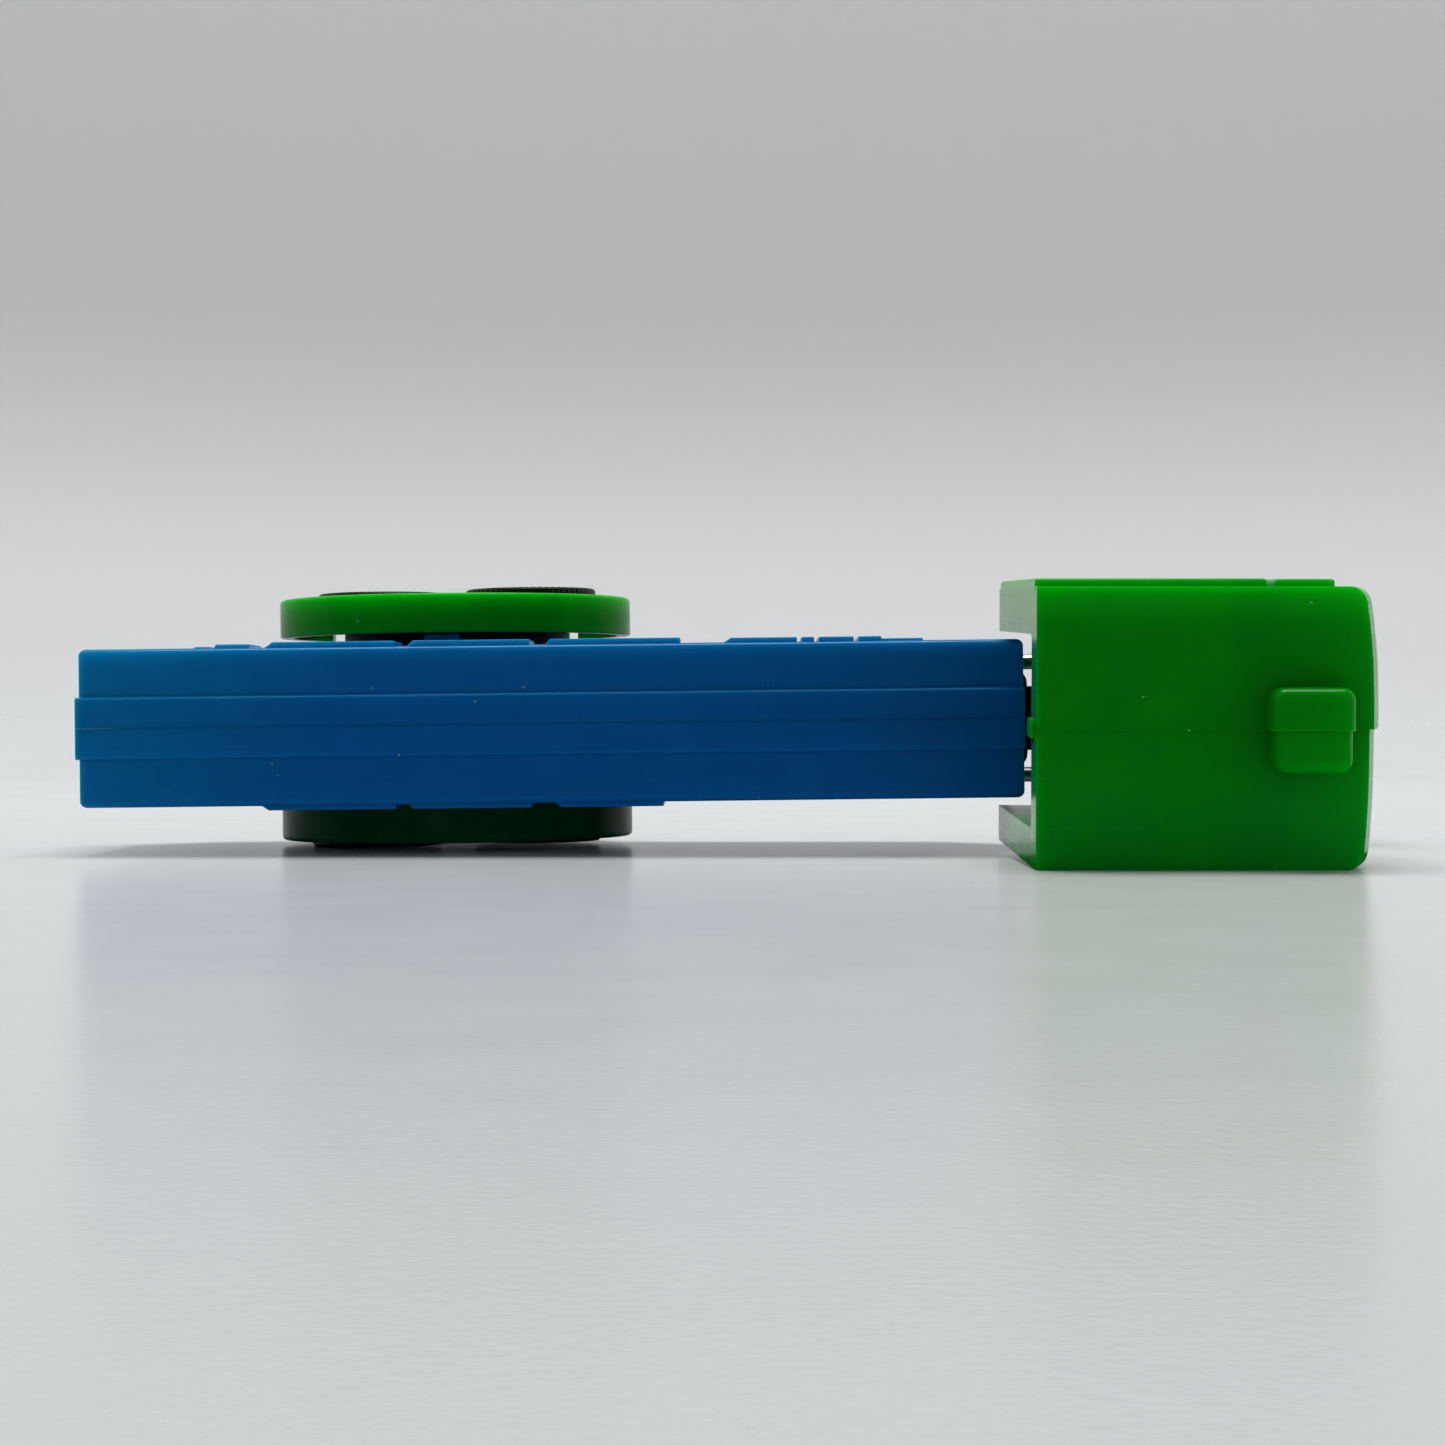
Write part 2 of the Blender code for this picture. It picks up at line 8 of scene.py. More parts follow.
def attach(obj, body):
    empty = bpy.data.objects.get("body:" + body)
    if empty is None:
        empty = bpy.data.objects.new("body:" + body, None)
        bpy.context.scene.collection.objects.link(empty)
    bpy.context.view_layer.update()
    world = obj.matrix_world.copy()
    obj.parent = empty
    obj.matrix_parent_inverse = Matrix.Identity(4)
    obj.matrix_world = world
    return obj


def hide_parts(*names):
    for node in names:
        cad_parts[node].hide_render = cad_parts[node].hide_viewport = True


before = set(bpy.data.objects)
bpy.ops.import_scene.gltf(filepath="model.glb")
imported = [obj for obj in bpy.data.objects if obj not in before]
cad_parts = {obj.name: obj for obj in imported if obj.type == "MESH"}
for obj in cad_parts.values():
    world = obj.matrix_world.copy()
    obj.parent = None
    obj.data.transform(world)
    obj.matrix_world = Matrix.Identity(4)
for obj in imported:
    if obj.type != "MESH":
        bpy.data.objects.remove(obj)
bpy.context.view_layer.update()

# Hull halves: the long blue body is two half shells of glossy ABS that meet under a raised band, with
# low panels along the roof edge of each flank. They are screwed together from the right. The layout
# is in millimetres, and the hull leans a little about Y as the toy lies on its side.
MM = 0.001
BASE = Matrix.Translation(Vector((-1.605, -38.946, -0.005)) * MM)
HULL = BASE @ Matrix.Translation((0, 0, 14.91 * MM)) @ Matrix.Rotation(math.radians(-0.66), 4, "Y")


class Value:
    """A shader value: arithmetic on it makes Math nodes in its material."""

    def __init__(self, tree, socket):
        self.tree, self.socket = tree, socket

    def math(self, operation, other):
        node = self.tree.nodes.new("ShaderNodeMath")
        node.operation = operation
        self.tree.links.new(self.socket, node.inputs[0])
        if isinstance(other, Value):
            self.tree.links.new(other.socket, node.inputs[1])
        else:
            node.inputs[1].default_value = other
        return Value(self.tree, node.outputs[0])

    def __add__(self, other):
        return self.math("ADD", other)

    def __sub__(self, other):
        return self.math("SUBTRACT", other)

    def __rsub__(self, other):
        return self.math("MULTIPLY", -1).math("ADD", other)

    def __mul__(self, other):
        return self.math("MULTIPLY", other)

    def __pow__(self, other):
        return self.math("POWER", other)

    __radd__, __rmul__ = __add__, __mul__

    def step(self, low, high):
        """Rises smoothly from 0 at low to 1 at high."""
        return made(self.tree, "ShaderNodeMapRange", "Result",
                    {"Value": self, "From Min": low, "From Max": high}, interpolation_type="SMOOTHSTEP")

    def spread(self, low, high):
        """Maps 0..1 to low..high."""
        return self * (high - low) + low


def made(tree, kind, output, inputs=(), **settings):
    """Adds one node, fills its inputs with values or links, and returns the named output."""
    node = tree.nodes.new(kind)
    for key, value in settings.items():
        setattr(node, key, value)
    for key, value in dict(inputs).items():
        if isinstance(value, Value):
            tree.links.new(value.socket, node.inputs[key])
        else:
            node.inputs[key].default_value = value
    return Value(tree, node.outputs[output])


def material(name, **constants):
    """A new Principled material: returns it, its tree, its shader and its Object coordinate in mm."""
    new = bpy.data.materials.new(name)
    new.use_nodes = True
    tree = new.node_tree
    shader = tree.nodes["Principled BSDF"]
    for key, value in constants.items():
        shader.inputs[key.replace("_", " ")].default_value = value
    where = made(tree, "ShaderNodeTexCoord", "Object")
    where = made(tree, "ShaderNodeVectorMath", "Vector", {0: where, 1: (1 / MM, 1 / MM, 1 / MM)},
                 operation="MULTIPLY")
    return new, tree, shader, where


def noise(tree, where, scale, detail=3.0, rough=0.55, stretch=None):
    if stretch:
        where = made(tree, "ShaderNodeVectorMath", "Vector", {0: where, 1: stretch}, operation="MULTIPLY")
    return made(tree, "ShaderNodeTexNoise", 0,
                {"Vector": where, "Scale": scale, "Detail": detail, "Roughness": rough})


def mixed(tree, factor, a, b):
    """Mixes two colours, given as triples or as colour values."""
    node = tree.nodes.new("ShaderNodeMix")
    node.data_type = "RGBA"
    tree.links.new(factor.socket, node.inputs[0])
    for index, value in ((6, a), (7, b)):
        if isinstance(value, Value):
            tree.links.new(value.socket, node.inputs[index])
        else:
            node.inputs[index].default_value = (*value, 1)
    return Value(tree, node.outputs[2])


def feed(tree, shader, key, value):
    tree.links.new(value.socket, shader.inputs[key])


def moulded(name, colour, deep, rough, specular, painted_light_bands=(), streak=(1, 1, 1), glow=0.6, ior=1.5, lean=0.66):
    """Translucent injection-moulded plastic: flow marks, rubbed patches, hair scratches, pale specks.
    Each (axis, from, to, gain) entry is painted light and shade: along the axis the colour is scaled by the
    gain, fading in from `from` to `to` and held beyond, so tops, ends and edge lines come out lighter as the
    lamp would light them. An entry with a gain under one closes the painted highlight line that the entry
    before it opens."""
    new, tree, shader, where = material(name, Specular_IOR_Level=specular, IOR=ior, Subsurface_Weight=glow,
                                        Subsurface_Scale=0.0045, Subsurface_Radius=(0.6, 1.0, 0.8))
    flow = noise(tree, where, 0.045, 4.0, 0.6, streak)
    cloud = noise(tree, where, 0.22, 5.0, 0.6)
    tone = mixed(tree, (flow * 0.65 + cloud * 0.35).step(0.36, 0.66), deep, colour)
    leaned = made(tree, "ShaderNodeVectorRotate", "Vector", {"Vector": where, "Angle": math.radians(lean)},
                  rotation_type="Y_AXIS")
    # Painted light and shade: each entry scales the colour along one axis.
    for axis, start, end, gain in painted_light_bands:
        place = made(tree, "ShaderNodeSeparateXYZ", axis, {"Vector": leaned})
        amount = place.step(start, end) if end > start else 1 - place.step(end, start)
        bright = made(tree, "ShaderNodeVectorMath", "Vector", {0: tone, 1: gain}, operation="MULTIPLY")
        tone = mixed(tree, amount ** 1.5, tone, bright)
    wear = noise(tree, where, 0.9, 6.0, 0.7).step(0.58, 0.75)
    pale = [c * 0.8 + 0.035 for c in colour]
    tone = mixed(tree, wear * 0.10, tone, pale)
    cells = made(tree, "ShaderNodeTexVoronoi", "Distance", {"Vector": where, "Scale": 0.42})
    seed = noise(tree, where, 0.31, 1.0).step(0.60, 0.64)
    speck = cells.math("LESS_THAN", 0.05) * seed
    tone = mixed(tree, speck * 0.55, tone, (0.42, 0.45, 0.42))
    feed(tree, shader, "Base Color", tone)
    scratch = noise(tree, where, 1.6, 2.0, 0.4, (0.05, 3.2, 3.2)).step(0.66, 0.74)
    feed(tree, shader, "Roughness", (cloud.spread(rough - 0.05, rough + 0.07) + scratch * 0.10 + speck * 0.3)
         .math("MAXIMUM", 0.05))
    height = cloud * 0.5 + noise(tree, where, 3.5, 2.0) * 0.05 + scratch * -0.03 + speck * 0.05
    bump = made(tree, "ShaderNodeBump", "Normal", {"Height": height, "Strength": 0.10, "Distance": 0.0004})
    feed(tree, shader, "Normal", bump)
    return new


def prism(outline, z0, z1, bevel=0.0, segments=3, pick=None):
    """A closed outline in X and Y, extruded along Z, with the picked edges rounded."""
    bm = bmesh.new()
    base = bm.faces.new([bm.verts.new((x, y, z0)) for x, y in outline])
    top = bmesh.ops.extrude_face_region(bm, geom=[base])["geom"]
    bmesh.ops.translate(bm, verts=[v for v in top if isinstance(v, bmesh.types.BMVert)], vec=(0, 0, z1 - z0))
    bmesh.ops.recalc_face_normals(bm, faces=bm.faces)
    if bevel:
        edges = [e for e in bm.edges if pick is None or pick(e.verts[0].co, e.verts[1].co)]
        bmesh.ops.bevel(bm, geom=edges, offset=bevel, segments=segments, profile=0.5, material=-1,
                        affect="EDGES", clamp_overlap=True)
    return bm


def block(x0, x1, y0, y1, z0, z1, bevel=0.0, segments=3, pick=None):
    return prism([(x0, y0), (x1, y0), (x1, y1), (x0, y1)], z0, z1, bevel, segments, pick)


def rod(radius, z0, z1, x=0.0, y=0.0, steps=48):
    bm = bmesh.new()
    bmesh.ops.create_cone(bm, cap_ends=True, segments=steps, radius1=radius, radius2=radius, depth=z1 - z0,
                          matrix=Matrix.Translation((x, y, (z0 + z1) / 2)))
    return bm


def turned(bm, matrix):
    bmesh.ops.transform(bm, matrix=matrix, verts=bm.verts)
    return bm


def mesh_of(bm, frame_matrix, name):
    """Puts a bmesh given in mm in a layout frame into a new object at the origin."""
    bmesh.ops.scale(bm, verts=bm.verts, vec=(MM, MM, MM))
    bmesh.ops.transform(bm, matrix=frame_matrix, verts=bm.verts)
    mesh = bpy.data.meshes.new(name)
    bm.to_mesh(mesh)
    bm.free()
    obj = bpy.data.objects.new(name, mesh)
    bpy.context.scene.collection.objects.link(obj)
    return obj


def carve(obj, steps, frame_matrix):
    """Runs (operation, bmesh) steps on an object as exact Booleans and keeps the result as its mesh."""
    tools = []
    for operation, bm in steps:
        tool = mesh_of(bm, frame_matrix, "tool")
        modifier = obj.modifiers.new("carve", "BOOLEAN")
        modifier.operation, modifier.solver, modifier.object = operation, "EXACT", tool
        tools.append(tool)
    graph = bpy.context.evaluated_depsgraph_get()
    mesh = bpy.data.meshes.new_from_object(obj.evaluated_get(graph))
    obj.modifiers.clear()
    obj.data = mesh
    for tool in tools:
        bpy.data.objects.remove(tool)
    return obj


def finished(obj, look, body, node, angle=32):
    """Smooth shading with sharp creases, a material, the body it rides on and the node it stands for."""
    obj.data.shade_smooth()
    obj.data.set_sharp_from_angle(angle=math.radians(angle))
    obj.data.materials.clear()
    obj.data.materials.append(look)
    even = obj.modifiers.new("even", "WEIGHTED_NORMAL")
    even.keep_sharp, even.weight = True, 80
    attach(obj, body)
    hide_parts(node)
    return obj


ALONG_X = Matrix.Rotation(math.radians(90), 4, "Y")
HALF, WALL, SUNK = 8.78, 1.8, 0.6
BAND_Y, BAND_HALF = 30.0, 3.45
GAP = 0.004
REAR = Vector((-32.2, 62.1))
CUP_IN, AXLE_BORE, REAR_SHIFT = 9.82, 1.65, 0.76
SCREWS = ((-62, 40), (-4, 58))
# Painted light in the hull's blue: lighter towards the top and the rear end, a lighter upper band, and a
# painted highlight line along the band's upper edge, which the fourth entry opens and the fifth closes.
hull_blue = moulded("hull_blue", (0.0, 0.110, 0.39), (0.0, 0.094, 0.335), 0.2, 0.14,
                    (("Z", 21.0, 24.2, (1, 1.55, 1.25)), ("X", -30, -78, (1, 1.5, 1.12)),
                     ("Z", 16.2, 18.6, (1, 1.12, 1.05)), ("Z", 17.95, 18.2, (1, 1.7, 1.4)),
                     ("Z", 18.40, 18.46, (1, 0.59, 0.71))), (0.2, 1.4, 1.4))
hull_outline = [(-71.1, 30.45), (33.3, 30.45), (33.3, 64.0), (27.0, 70.8), (-60.0, 70.8), (-71.1, 61.0)]
hollow_outline = [(-69.3, 32.25), (31.5, 32.25), (31.5, 63.0), (26.2, 69.0), (-59.2, 69.0), (-69.3, 60.2)]
# Flank panels: start and end along X, height above the flank, and length of the ramp at the start.
LEFT_PANELS = [(-59.4, -56.6, 0.15, 1.0), (-56.6, -52.3, 0.4, 0.5), (-51.5, -36.3, 0.6, 1.6),
               (-35.5, -21.3, 0.6, 1.2), (-20.1, -4.6, 0.6, 1.0), (-0.7, 8.35, 0.5, 1.6),
               (8.85, 10.25, 0.5, 0.0), (10.75, 14.65, 0.5, 0.0), (15.15, 17.7, 0.5, 0.0),
               (17.7, 22.3, 0.25, 0.0)]
RIGHT_PANELS = [(-52.0, -36.3, 0.5, 1.6), (-35.3, -21.3, 0.5, 1.0), (-19.5, -6.6, 0.5, 1.6)]


def on_plane(z_limit):
    """Picks edges that lie at this distance from the middle plane."""
    return lambda a, b: abs(abs(a.z) - z_limit) < 1e-4 and abs(abs(b.z) - z_limit) < 1e-4


def band_lip(a, b):
    return max(a.y, b.y) < BAND_Y + 0.001 and on_plane(BAND_HALF)(a, b)


def hull_half(name, side, panels):
    def span(a, b):
        return (a, b) if side > 0 else (-b, -a)

    shell = mesh_of(prism(hull_outline, *span(GAP, HALF), 0.75, 6, on_plane(HALF)), HULL, name)
    band = block(-71.5, 33.4, BAND_Y, 34.0, *span(GAP, BAND_HALF), 0.4, 6, band_lip)
    steps = [("UNION", band), ("UNION", block(-71.5, -66.0, 33.0, 58.0, *span(GAP, BAND_HALF)))]
    for x0, x1, height, ramp in panels:
        face = HALF + height
        bm = block(x0, x1, 31.2, 39.5, *span(HALF - SUNK, face))
        for v in bm.verts:
            if ramp and abs(abs(v.co.z) - face) < 1e-4 and abs(v.co.x - x0) < 1e-4:
                v.co.x += ramp
        tops = [e for e in bm.edges if on_plane(face)(e.verts[0].co, e.verts[1].co)]
        bmesh.ops.bevel(bm, geom=tops, offset=0.12, segments=3, profile=0.5, material=-1, affect="EDGES")
        steps.append(("UNION", bm))
    boss_end = CUP_IN + side * REAR_SHIFT - 0.2
    steps.append(("UNION", rod(2.4, *span(HALF - SUNK, boss_end), *REAR)))
    if side > 0:
        steps.append(("UNION", block(REAR.x - 2.0, REAR.x + 2.0, 44.0, 48.2, HALF - SUNK, 10.4)))
    steps.append(("DIFFERENCE", prism(hollow_outline, *span(-1.0, HALF - WALL))))
    steps.append(("UNION", rod(4.2, *span(0.05, HALF - SUNK), *REAR)))
    for x, y in (*SCREWS, (24, 56)):
        steps.append(("UNION", rod(3.0, *span(0.05, HALF - SUNK), x, y, 32)))
    steps += [("DIFFERENCE", rod(AXLE_BORE, *span(-2, 20), *REAR)),
              ("DIFFERENCE", block(30.0, 36.0, 31.4, 43.6, *span(-2, 5.7))),
              ("DIFFERENCE", block(30.0, 36.0, 45.6, 64.4, *span(-2, 4.1))),
              ("DIFFERENCE", turned(rod(1.0, 20, 36), Matrix.Translation((0, 45, side * 6.5)) @ ALONG_X))]
    for x, y in SCREWS:
        if side < 0:
            steps.append(("DIFFERENCE", rod(2.2, -9.5, -7.0, x, y, 32)))
            steps.append(("DIFFERENCE", rod(1.35, -9.5, 2, x, y, 32)))
        else:
            steps.append(("DIFFERENCE", rod(1.35, -2, 6.4, x, y, 32)))
    return finished(carve(shell, steps, HULL), hull_blue, "hull", "hull_left" if side > 0 else "hull_right")


hull_half("hull_left_shell", 1, LEFT_PANELS)
hull_half("hull_right_shell", -1, RIGHT_PANELS)

# Wheels: green cups spun on steel axles, each with a rounded tyre edge and a shallow dish.
# Two black knurled caps are pressed into each dish, and a black drum sits inside each rear cup.
# Painted light in the left wheels' green: lighter towards the top, and bluer along the lower rim.
wheel_green = moulded("wheel_green", (0.0, 0.28, 0.004), (0.0, 0.21, 0.004), 0.22, 0.06,
                      (("Z", 26.2, 30.2, (1, 1.9, 1)), ("Z", 26.6, 25.0, (1, 1.0, 5.0))), (1, 1, 0.4),
                      ior=1.38)
# Painted shade: the right-hand wheels lie in the body's shadow, and this darker copy of the wheel green
# stands in for that shade.
painted_shade_green = moulded("painted_shade_green", (0.0, 0.10, 0.03), (0.0, 0.06, 0.020), 0.24, 0.05,
                       streak=(1, 1, 0.4), glow=0.0, ior=1.36)


def black_plastic(name, tone, rough, specular=0.5, scale=1.0):
    """Black moulded plastic with a fine spark texture and pale, rougher patches of dust."""
    new, tree, shader, where = material(name, Specular_IOR_Level=specular, IOR=1.5)
    dust = noise(tree, where, 0.35 * scale, 5.0, 0.65).step(0.5, 0.8)
    base = [tone] * 3
    feed(tree, shader, "Base Color", mixed(tree, dust * 0.35, base, [tone * 3 + 0.006] * 3))
    feed(tree, shader, "Roughness", dust.spread(rough, rough + 0.22))
    grain = noise(tree, where, 5.0 * scale, 2.0)
    feed(tree, shader, "Normal", made(tree, "ShaderNodeBump", "Normal",
                                      {"Height": grain, "Strength": 0.25, "Distance": 0.0001}))
    return new


cap_black = black_plastic("cap_black", 0.006, 0.35)
drum_black = black_plastic("drum_black", 0.004, 0.55, 0.3)


def lathe(profile, steps=96):
    """A closed (radius, z) outline spun round the Z axis."""
    bm = bmesh.new()
    ring = [bm.verts.new((r, 0, z)) for r, z in profile]
    edges = [bm.edges.new((ring[i], ring[(i + 1) % len(ring)])) for i in range(len(ring))]
    bmesh.ops.spin(bm, geom=ring + edges, cent=(0, 0, 0), axis=(0, 0, 1), angle=math.tau, steps=steps,
                   use_merge=True)
    bmesh.ops.remove_doubles(bm, verts=bm.verts, dist=1e-4)
    bmesh.ops.recalc_face_normals(bm, faces=bm.faces)
    return bm


def rounded(corner, radius, start, end, count=5):
    """Points of an arc about `corner`, from `start` to `end` degrees."""
    return [(corner[0] + radius * math.cos(math.radians(start + (end - start) * i / count)),
             corner[1] + radius * math.sin(math.radians(start + (end - start) * i / count)))
            for i in range(count + 1)]


RIBS, RIB_DEPTH = 60, 0.16
CAP_SUNK = 1.6


def mirrored(bm, side, move):
    """Turns a piece made for the left side over when it is for the right, and moves it to its place."""
    if side < 0:
        bmesh.ops.scale(bm, verts=bm.verts, vec=(1, 1, -1))
        bmesh.ops.reverse_faces(bm, faces=bm.faces)
    return turned(bm, Matrix.Translation(move))


def knurled_cap(name, x, y, radius, z_in, z_out, side, shift, body, node):
    """A pressed-in cap: ribbed rim, rounded lip and a slightly dished face."""
    profile = [(0, z_in), (radius, z_in), (radius, z_out - 0.55)]
    profile += rounded((radius - 0.4, z_out - 0.4), 0.4, 0, 90)
    profile += [(radius - 1.5, z_out), (radius - 1.8, z_out - 0.1), (radius - 2.1, z_out - 0.33),
                (radius * 0.3, z_out - 0.38), (0, z_out - 0.36)]
    bm = lathe(profile, 180)
    for v in bm.verts:
        reach = math.hypot(v.co.x, v.co.y)
        if reach > radius - 0.25:
            angle = math.atan2(v.co.y, v.co.x)
            wave = 0.5 + 0.5 * math.cos(angle * RIBS)
            v.co.x *= 1 - RIB_DEPTH * wave / radius
            v.co.y *= 1 - RIB_DEPTH * wave / radius
    mirrored(bm, side, (x, y, shift))
    return finished(mesh_of(bm, HULL, name), cap_black, body, node, angle=40)


def wheel(prefix, centre, radius, z_in, z_out, shift, side, cap_r, cap_at, cap_out, drum=None, notches=()):
    body = f"{prefix}_wheel"
    wall, web, e = 1.6, 1.7, 0.5
    profile = [(AXLE_BORE, z_in + 0.5), (4.2, z_in + 0.5), (4.2, z_out - web - 0.6),
               (radius - wall, z_out - web - 0.6), (radius - wall, z_in), (radius - 0.2, z_in),
               (radius - 0.06, z_in + 0.06), (radius, z_in + 0.2)]
    profile += rounded((radius - e, z_out - e), e, 0, 90, 6)
    profile += [(radius - 1.5, z_out), (radius - 1.7, z_out - 0.1), (radius - 1.9, z_out - 0.6),
                (3.2, z_out - 0.6), (3.0, z_out - 0.35), (AXLE_BORE, z_out - 0.35)]
    bm = mirrored(lathe(profile, 192), side, (*centre, shift))
    cup = mesh_of(bm, HULL, f"{prefix}_wheel_cup")
    steps = []
    for index, letter in enumerate("ab"):
        angle = math.radians(-21.0 * side + 180 * index)
        x, y = centre.x + cap_at * math.cos(angle), centre.y + cap_at * math.sin(angle)
        low, high = sorted((side * (z_out - 1.7) + shift, side * (z_out + 2) + shift))
        steps.append(("DIFFERENCE", rod(cap_r + 0.1, low, high, x, y, 96)))
        knurled_cap(f"{prefix}_cap_piece_{letter}", x, y, cap_r, z_out - CAP_SUNK, z_out + cap_out, side,
                    shift, body, f"{prefix}_cap_{letter}")
    for x0, x1 in notches:
        slot = block(centre.x + x0, centre.x + x1, centre.y + 10, centre.y + 21, 10.0, 12.2)
        steps.append(("DIFFERENCE", slot))
    # The right-hand cups take the darker copy of the green, which is painted shade.
    finished(carve(cup, steps, HULL), wheel_green if side > 0 else painted_shade_green, body, f"{prefix}_cup")
    if drum:
        ring = [(9.4, drum[0]), (drum[2], drum[0]), (drum[2], drum[1]), (9.4, drum[1])]
        bm = lathe([(r, side * z + shift) for r, z in ring], 128)
        turned(bm, Matrix.Translation((centre.x, centre.y, 0)))
        finished(mesh_of(bm, HULL, f"{prefix}_drum_piece"), drum_black, body, f"{prefix}_drum")


FRONT = Vector((52.5, 70.2))
FRONT_SHIFT = -0.2
wheel("rear_left", REAR, 21.1, CUP_IN, 14.35, REAR_SHIFT, 1, 7.8, 10.0, 1.0, (8.5, 11.9, 13.4),
      ((-16.35, -15.05), (12.95, 14.1)))
wheel("rear_right", REAR, 21.1, CUP_IN, 14.35, REAR_SHIFT, -1, 7.8, 10.0, 0.75, (10.0, 11.9, 13.4))
wheel("front_left", FRONT, 12.8, 9.9, 14.4, FRONT_SHIFT, 1, 4.0, 6.3, 0.8)
wheel("front_right", FRONT, 12.8, 9.9, 14.4, FRONT_SHIFT, -1, 4.0, 6.3, 0.8)

# Cab: two green half shells that meet half way up, open at the rear and underneath.
# A rounded lug stands on the roof across the joint, and a small nub marks its rear edge.
CAB = BASE @ Matrix.Rotation(math.radians(2.3), 4, "X")
SEAM = 14.1
CAB_REAR, CAB_FAR, CAB_HINGE = 31.3, 38.8, (60.0, 41.7)
# Painted light in the cab's green: lighter towards the top and the front end, lighter and bluer towards the
# bottom, and a painted highlight line just under the joint, which the fourth entry opens and the fifth
# closes.
cab_green = moulded("cab_green", (0.0, 0.245, 0.001), (0.0, 0.21, 0.004), 0.2, 0.13,
                    (("Z", 22.5, 28.6, (1, 1.7, 1)), ("X", 48, 66, (1, 1.4, 1)), ("Z", 17, 3, (1, 1.16, 3.5)),
                     ("Z", 14.18, 14.1, (1, 1.3, 1.3)), ("Z", 14.02, 13.94, (1, 0.77, 0.77))),
                    (1.6, 1.6, 0.15), lean=0)
# The front face bulges by the first value at the second one's distance from the roof.
CAB_BULGE = ((0.0, 0.0), (1.0, 3.0), (2.0, 7.0), (2.8, 11.0), (3.2, 17.0), (3.1, 25.0), (2.6, 32.0),
             (1.9, CAB_FAR))
# The outline draws in towards each flank: share of the way out, share of the draw.
CAB_DRAW = ((0.0, 0.0), (0.15, 0.01), (0.3, 0.05), (0.45, 0.12), (0.6, 0.27), (0.75, 0.48), (0.88, 0.73),
            (1.0, 1.0))


def loft(rings):
    """A solid through outlines with equal numbers of points, each a list of (x, y, z)."""
    bm = bmesh.new()
    rings = [[bm.verts.new(p) for p in ring] for ring in rings]
    bm.faces.new(rings[0])
    bm.faces.new(rings[-1])
    for a, b in zip(rings, rings[1:]):
        for i in range(len(a)):
            j = (i + 1) % len(a)
            bm.faces.new((a[i], a[j], b[j], b[i]))
    bmesh.ops.recalc_face_normals(bm, faces=bm.faces)
    return bm


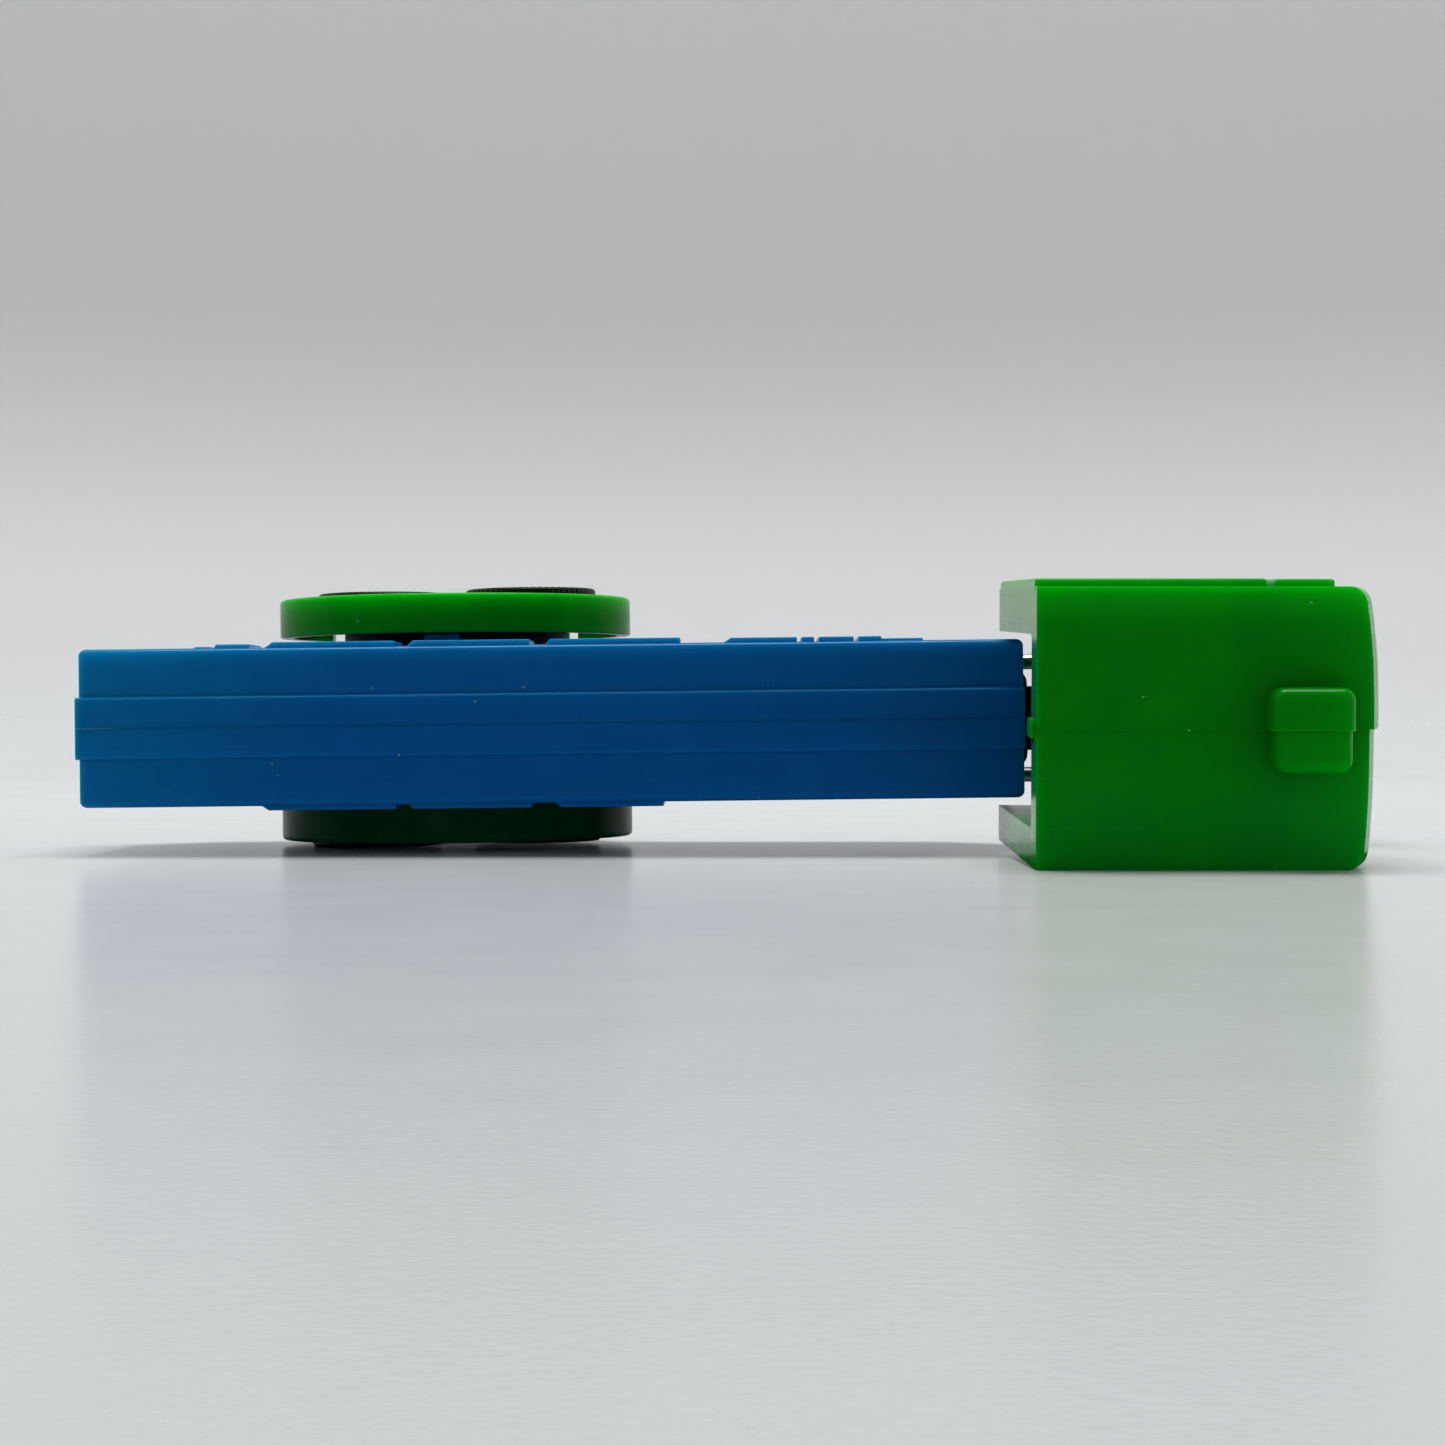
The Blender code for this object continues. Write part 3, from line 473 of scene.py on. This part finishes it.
def cab_half(name, z0, z1, wall_z, x_mid, x_end, lug_grow, node):
    low = z0 < 1
    outer, seam = (z0, z1 - GAP) if low else (z1, z0 + GAP)
    roof_y = 0.0 if low else -0.07
    rings = []
    for share, draw in CAB_DRAW:
        level = seam + (outer - seam) * share
        front = [(x_mid + bulge - (x_mid - x_end) * draw, y or roof_y, level) for bulge, y in CAB_BULGE]
        rings.append([(CAB_REAR, CAB_FAR, level), (CAB_REAR, roof_y, level)] + front)
    bm = loft(rings)

    def at_outer(e):
        return all(abs(v.co.z - outer) < 1e-4 for v in e.verts)

    ends = [e for e in bm.edges if at_outer(e) and min(v.co.x for v in e.verts) > 50]
    bmesh.ops.bevel(bm, geom=ends, offset=1.5, segments=8, profile=0.5, material=-1, affect="EDGES")
    rest = [e for e in bm.edges if at_outer(e) and len(e.link_faces) == 2 and e.calc_face_angle(0) > 0.9
            and max(v.co.x for v in e.verts) > 32]
    near = [e for e in bm.edges if all(abs(v.co.y - roof_y) < 1e-4 and v.co.x > 60 for v in e.verts)
            and abs(e.verts[0].co.z - e.verts[1].co.z) > 0.8]
    bmesh.ops.bevel(bm, geom=list(set(rest + near)), offset=0.35, segments=4, profile=0.5, material=-1,
                    affect="EDGES", clamp_overlap=True)
    shell = mesh_of(bm, CAB, name)
    x0, x1, y1 = 54.5 - lug_grow, 62.2 + lug_grow, -4.5 - lug_grow * 0.5
    lug_z = (9.9, SEAM - GAP) if low else (SEAM + GAP, 18.4)
    lug = block(x0, x1, y1, 1.0, *lug_z)
    lug_outer = lug_z[0] if low else lug_z[1]
    soft = [e for e in lug.edges if all(abs(v.co.z - lug_outer) < 1e-4 for v in e.verts)
            or (all(abs(v.co.y - y1) < 1e-4 for v in e.verts)
                and abs(e.verts[0].co.x - e.verts[1].co.x) < 1e-4)]
    bmesh.ops.bevel(lug, geom=soft, offset=1.3, segments=7, profile=0.5, material=-1, affect="EDGES",
                    clamp_overlap=True)
    nub = block(30.7, 33.0, 0.4, 3.5, *((13.2, SEAM - GAP) if low else (SEAM + GAP, 15.2)))
    tips = [e for e in nub.edges if all(v.co.x < 30.8 for v in e.verts) and
            any(abs(v.co.z - SEAM) > 0.1 for v in e.verts)]
    bmesh.ops.bevel(nub, geom=tips, offset=0.35, segments=4, profile=0.5, material=-1, affect="EDGES",
                    clamp_overlap=True)
    steps = [("UNION", lug), ("UNION", nub)]
    if not low:
        for x_a, x_b, y_b, top in ((31.26, 54.5, 37.0, 0.8), (55.3, 61.3, 14.0, 0.75)):
            steps.append(("UNION", block(x_a, x_b, 1.5, y_b, z1 - 0.6, z1 + top, 0.35, 4,
                                         lambda p, q: min(p.z, q.z) > z1 + 0.7)))
    lo, hi = (wall_z, SEAM + 1) if low else (SEAM - 1, wall_z)
    steps.append(("DIFFERENCE", prism([(20, 4.5), (62.0, 4.5), (62.0, 45), (20, 45)], lo, hi, 0.8, 4,
                                      lambda p, q: abs(p.z - wall_z) < 1e-4 and abs(q.z - wall_z) < 1e-4)))
    ear_z = (wall_z - 0.5, 8.2) if low else (19.9, wall_z + 0.5)
    ear = [(57.4, 35.0), (62.6, 35.0)] + rounded(CAB_HINGE, 2.6, 0, 180, 20)
    steps.append(("UNION", prism(ear, *ear_z)))
    carve(shell, steps, CAB)
    carve(shell, [("DIFFERENCE", rod(0.98, -20, 20, *CAB_HINGE))], HULL)
    return finished(shell, cab_green, "cab", node)


cab_half("cab_right_shell", 0.0, SEAM, 3.9, 64.6, 64.0, 0.0, "cab_right")
cab_half("cab_left_shell", SEAM, 28.4, 23.6, 65.05, 64.0, 0.25, "cab_left")

# Steel and black running parts keep their CAD shapes and take worked finishes.
# Axles, pins and tie rods are drawn steel; the chassis, seat and buffer are black mouldings.
def drawn_steel(name, tone=(0.42, 0.41, 0.39), rough=0.28):
    new, tree, shader, where = material(name, Metallic=1.0)
    drawn = noise(tree, where, 1.2, 4.0, 0.6, (0.2, 3.0, 3.0))
    stain = noise(tree, where, 0.25, 4.0, 0.6).step(0.5, 0.78)
    feed(tree, shader, "Base Color", mixed(tree, stain * 0.5, tone, (0.20, 0.17, 0.14)))
    feed(tree, shader, "Roughness", drawn.spread(rough - 0.08, rough + 0.12) + stain * 0.15)
    feed(tree, shader, "Normal", made(tree, "ShaderNodeBump", "Normal",
                                      {"Height": drawn, "Strength": 0.15, "Distance": 0.0001}))
    return new


steel = drawn_steel("drawn_steel")
edge_steel = drawn_steel("edge_steel", (0.36, 0.36, 0.36), 0.38)
chassis_black = black_plastic("chassis_black", 0.006, 0.4)
seat_black = black_plastic("seat_black", 0.009, 0.55, 0.4, 1.4)
LOOKS = {"chassis_spine": chassis_black, "bulkhead_buffer": chassis_black, "seat": seat_black,
         "steering_column": chassis_black, "steering_wheel": chassis_black, "tie_rod_upper": steel,
         "tie_rod_lower": steel, "rear_axle": steel, "front_axle": steel, "cab_hinge_pin": steel,
         "blade_pin": steel, "hull_screw_rear": steel, "hull_screw_front": steel, "blade": cab_green,
         "cutting_edge": edge_steel}
for node_name, look in LOOKS.items():
    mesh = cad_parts[node_name].data
    mesh.materials.clear()
    mesh.materials.append(look)

# Stage: a pale matt table that sweeps up into a plain backdrop on every side.
# The rear half shows in the plastics' reflections; the near half stays out of them, as a dark room
# does, and one soft lamp hangs overhead.
def sweep(name, start, end, glossy):
    profile = [(0.0, 0.0), (120.0, 0.0), (460.0, 0.0)]
    profile += [(460.0 + 180 * math.sin(math.radians(a)), 180 - 180 * math.cos(math.radians(a)))
                for a in range(8, 89, 8)]
    profile += [(644.0, 260.0), (648.0, 1100.0 if glossy else 520.0)]
    bm = bmesh.new()
    columns = []
    count = 48
    for i in range(count + 1):
        angle = math.radians(start + (end - start) * i / count)
        columns.append([bm.verts.new((r * math.cos(angle), r * math.sin(angle), z)) for r, z in profile])
    for a, b in zip(columns, columns[1:]):
        for j in range(len(profile) - 1):
            bm.faces.new((a[j], b[j], b[j + 1], a[j + 1]))
    bmesh.ops.remove_doubles(bm, verts=bm.verts, dist=1e-5)
    bmesh.ops.scale(bm, verts=bm.verts, vec=(MM, MM, MM))
    bmesh.ops.recalc_face_normals(bm, faces=bm.faces)
    mesh = bpy.data.meshes.new(name)
    bm.to_mesh(mesh)
    bm.free()
    obj = bpy.data.objects.new(name, mesh)
    bpy.context.scene.collection.objects.link(obj)
    mesh.shade_smooth()
    obj.visible_glossy = glossy
    return obj


table, tree, shader, where = material("table_sweep", Specular_IOR_Level=0.6)
height = made(tree, "ShaderNodeSeparateXYZ", "Z", {"Vector": where})
mottle = noise(tree, where, 0.02, 3.0)
paper = mixed(tree, mottle, (0.77, 0.79, 0.785), (0.80, 0.82, 0.815))
paper = mixed(tree, height.step(10, 40), paper, (0.735, 0.735, 0.74))
feed(tree, shader, "Base Color", mixed(tree, height.step(45, 150), paper, (0.545, 0.55, 0.56)))
feed(tree, shader, "Roughness", noise(tree, where, 0.08, 4.0).spread(0.20, 0.26) + height.step(5, 60) * 0.5)
grain = noise(tree, where, 1.3, 3.0)
feed(tree, shader, "Normal", made(tree, "ShaderNodeBump", "Normal",
                                  {"Height": grain, "Strength": 0.12, "Distance": 0.0002}))
for name, start, end, glossy in (("sweep_rear", -8, 188, True), ("sweep_near", 188, 352, False)):
    sweep(name, start, end, glossy).data.materials.append(table)


def lamp(name, place, aim, size, power):
    data = bpy.data.lights.new(name, "AREA")
    data.shape, data.size, data.size_y = "RECTANGLE", size[0], size[1]
    data.energy = power
    obj = bpy.data.objects.new(name, data)
    bpy.context.scene.collection.objects.link(obj)
    obj.location = place
    obj.rotation_mode = "QUATERNION"
    obj.rotation_quaternion = (Vector(aim) - Vector(place)).to_track_quat("-Z", "Y")
    return obj


lamp("overhead", (0.0, 0.14, 0.85), (0, 0.02, 0), (0.5, 0.36), 6.2)
world = bpy.data.worlds.new("studio")
bpy.context.scene.world = world
world.use_nodes = True
world.node_tree.nodes["Background"].inputs["Color"].default_value = (0.9, 0.95, 1.0, 1)
world.node_tree.nodes["Background"].inputs["Strength"].default_value = 0.10
world.cycles_visibility.glossy = False

# Camera: a short telephoto, level with the middle of the toy as it lies,
# looking straight along +Y at the roof.
camera = bpy.data.objects.new("camera", bpy.data.cameras.new("camera"))
bpy.context.scene.collection.objects.link(camera)
camera.data.lens, camera.data.sensor_width = 72.2, 36.0
camera.data.clip_start, camera.data.clip_end = 0.01, 10
camera.location = Vector((-1.605, -289.8 - 38.946, 14.8)) * MM
camera.rotation_euler = (math.radians(90), 0, 0)
bpy.context.scene.camera = camera
bpy.context.scene.view_settings.view_transform = "Standard"
